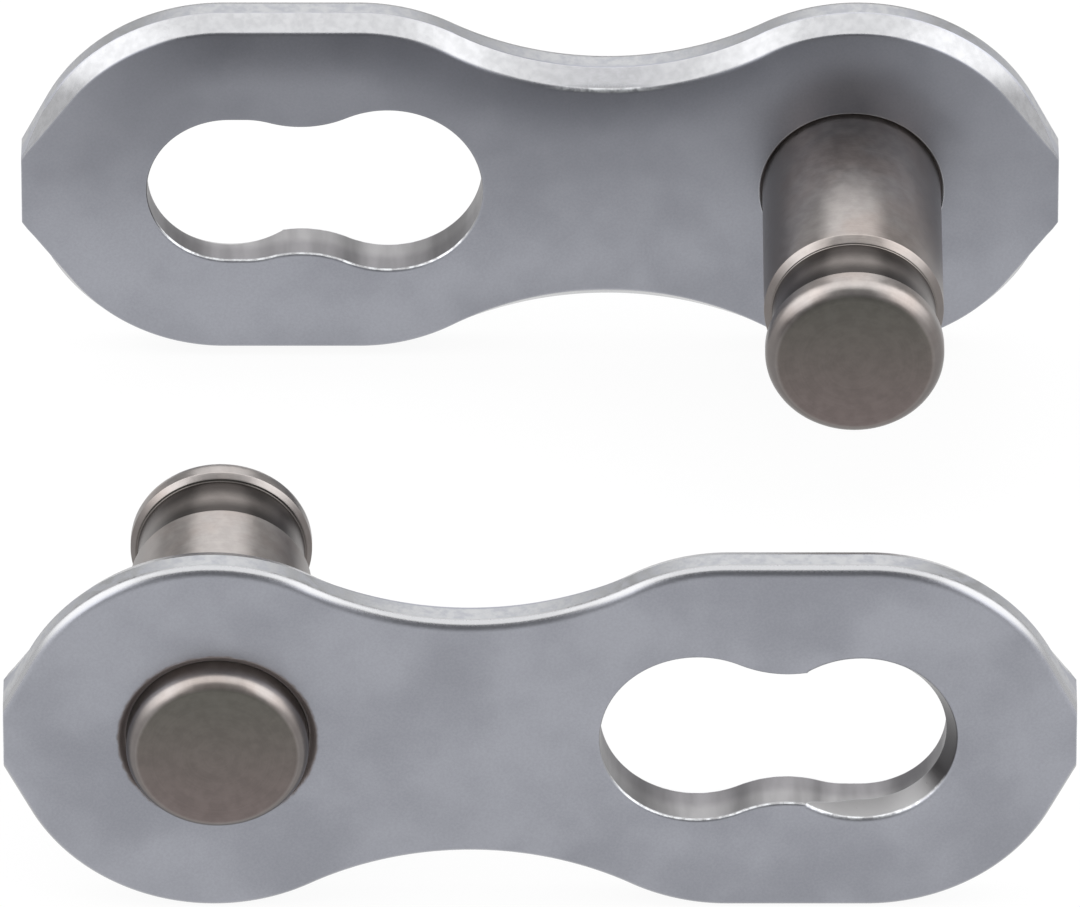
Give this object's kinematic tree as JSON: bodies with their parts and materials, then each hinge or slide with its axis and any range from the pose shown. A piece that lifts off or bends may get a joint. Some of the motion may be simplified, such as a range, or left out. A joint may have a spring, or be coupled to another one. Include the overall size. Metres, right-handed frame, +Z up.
{
  "type": "chain connecting link",
  "caption": "Snap-together connecting link for a roller chain: waisted outer plates, each with a keyhole slot and a riveted pin with a groove and a head.",
  "frame": {"origin": "bottom centre of the pair: on the ground under the long edges of the plates, midway between the two halves", "axes": "+X along the link, from the near pin's end towards the far pin's end; +Y along the pins, from the near half to the far half; +Z up across the width of the plates"},
  "size_m": [0.0212, 0.0222, 0.008],
  "materials": {
    "plate_steel": "satin tumbled steel, bluish grey",
    "pin_steel": "turned hardened steel, warm dark grey"
  },
  "bodies": {
    "far_half": {"far_plate": "plate_steel", "far_pin": "pin_steel"},
    "near_half": {"near_plate": "plate_steel", "near_pin": "pin_steel"}
  },
  "joints": [
    {"name": "close_link", "type": "slide", "parent": "far_half", "child": "near_half", "axis": [0.2274, 0.9738, 0], "range_m": [0, 0.01469]}
  ]
}
